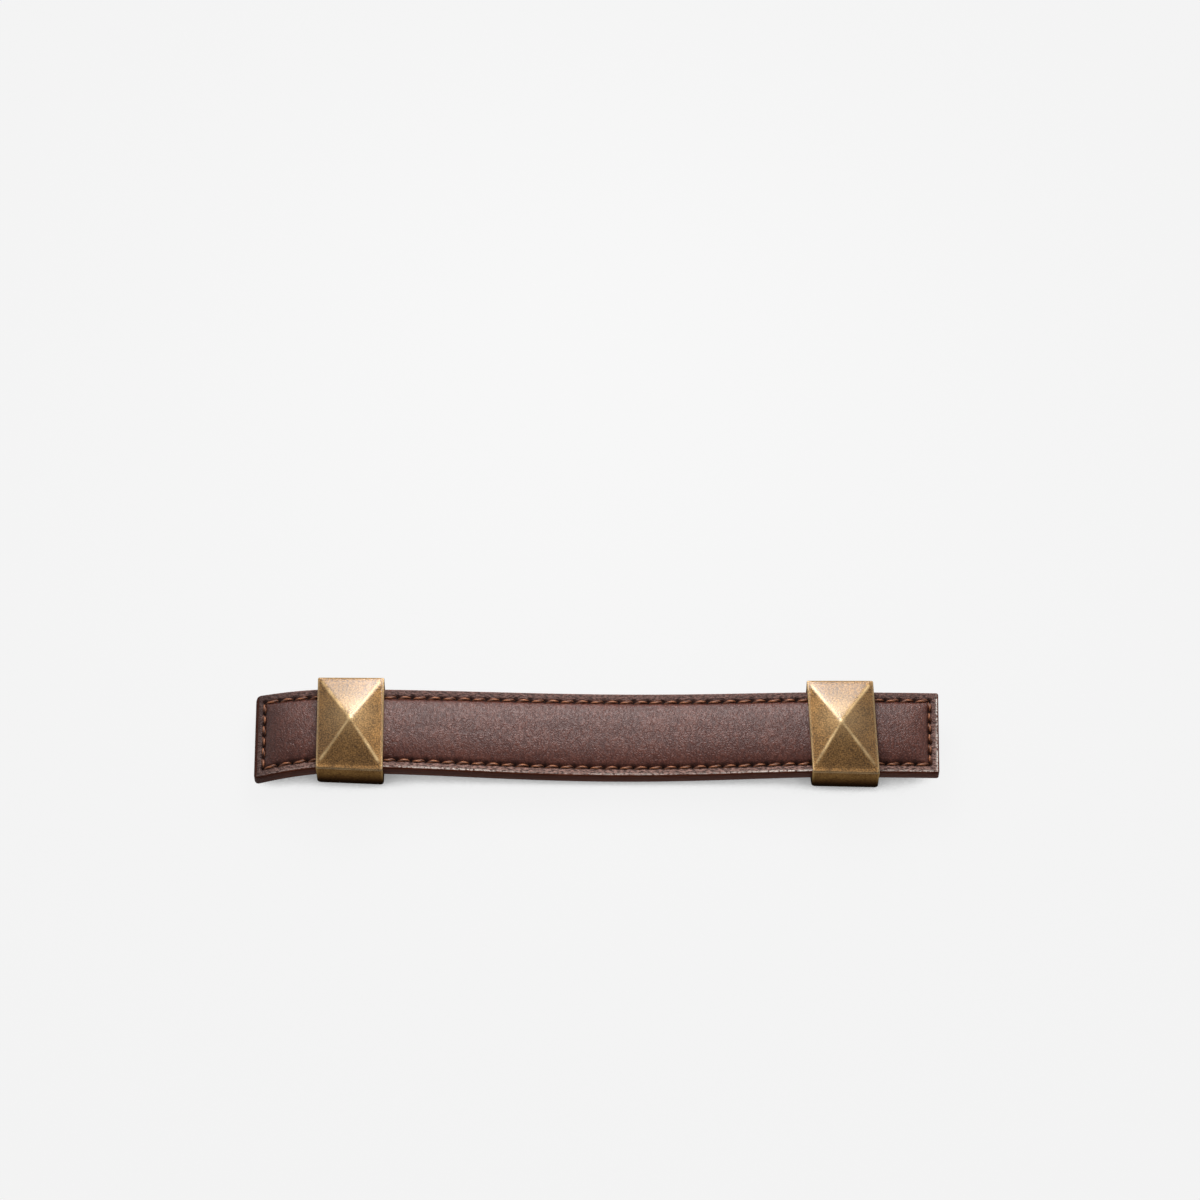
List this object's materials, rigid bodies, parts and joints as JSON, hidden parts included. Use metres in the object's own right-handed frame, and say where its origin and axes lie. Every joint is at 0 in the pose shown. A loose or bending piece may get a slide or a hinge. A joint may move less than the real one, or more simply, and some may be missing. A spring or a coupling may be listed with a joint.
{
  "type": "leather strap pull",
  "caption": "Padded and stitched leather strap pull held by cast brass loops with shallow pyramid fronts, fixed from behind the drawer front.",
  "frame": {"origin": "on the drawer-front plane, midway between the two fixing holes", "axes": "+X along the strap to the right as seen from the front, +Y up the drawer front, +Z out of the drawer front towards the hand"},
  "size_m": [0.1782, 0.0264, 0.0177],
  "materials": {
    "antique_brass": "cast brass, darkened and rubbed bright on its edges",
    "face_leather": "fine-grained dark brown leather with a low sheen",
    "padding": "undyed felt padding, hidden",
    "lining_leather": "plain brown leather",
    "needle_thread": "waxed twisted copper-brown thread",
    "bobbin_thread": "waxed twisted brown thread"
  },
  "bodies": {
    "root": {"left_loop": "antique_brass", "right_loop": "antique_brass", "face_leather": "face_leather", "padding_core": "padding", "back_leather": "lining_leather", "needle_thread": "needle_thread", "bobbin_thread": "bobbin_thread"}
  },
  "joints": []
}
